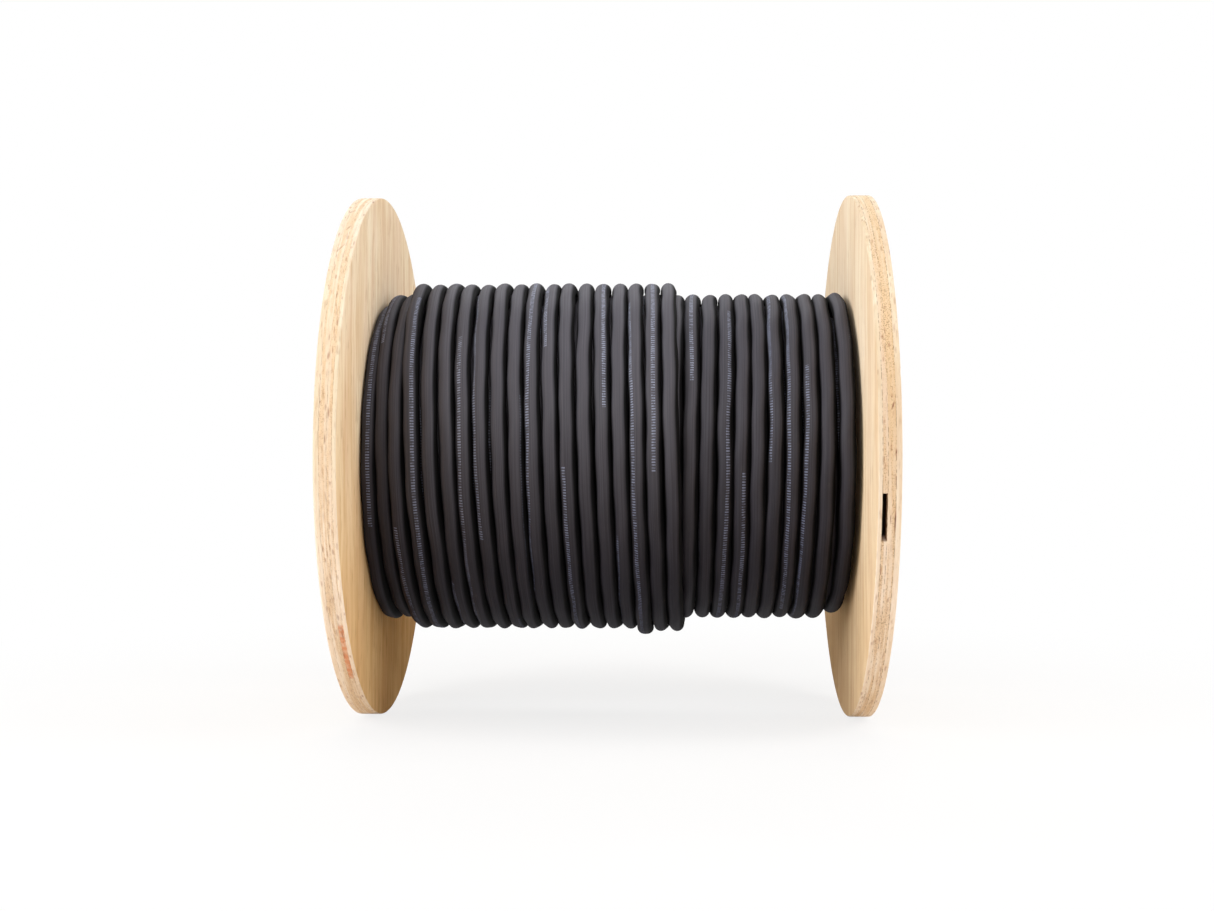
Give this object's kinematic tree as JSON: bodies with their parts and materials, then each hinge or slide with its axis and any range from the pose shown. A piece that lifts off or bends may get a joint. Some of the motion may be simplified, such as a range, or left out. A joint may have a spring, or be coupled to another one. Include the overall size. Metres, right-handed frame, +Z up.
{
  "type": "wooden cable drum",
  "caption": "Plywood drum with two round flanges on a hidden core, wound with black rubber-jacketed cable in full layers and a part layer on top.",
  "frame": {"origin": "on the floor under the middle of the drum, midway between the flanges", "axes": "+X along the drum's axis towards the flange with the ply void, +Z up, -Y the front; the drum lies on its rims"},
  "size_m": [0.295, 0.3048, 0.3048],
  "materials": {
    "plywood": "bare sanded softwood plywood with open ply edges",
    "cable_jacket": "matte black rubber with a faint sheen",
    "core_board": "plain brown wound fibre board",
    "zinc_steel": "bright zinc plate"
  },
  "bodies": {
    "root": {"left_flange": "plywood", "right_flange": "plywood", "core_tube": "core_board", "cable_winding": "cable_jacket", "tie_bolt_1": "zinc_steel", "tie_bolt_2": "zinc_steel", "tie_bolt_3": "zinc_steel", "tie_bolt_4": "zinc_steel", "tee_nut_1": "zinc_steel", "tee_nut_2": "zinc_steel", "tee_nut_3": "zinc_steel", "tee_nut_4": "zinc_steel"}
  },
  "joints": []
}
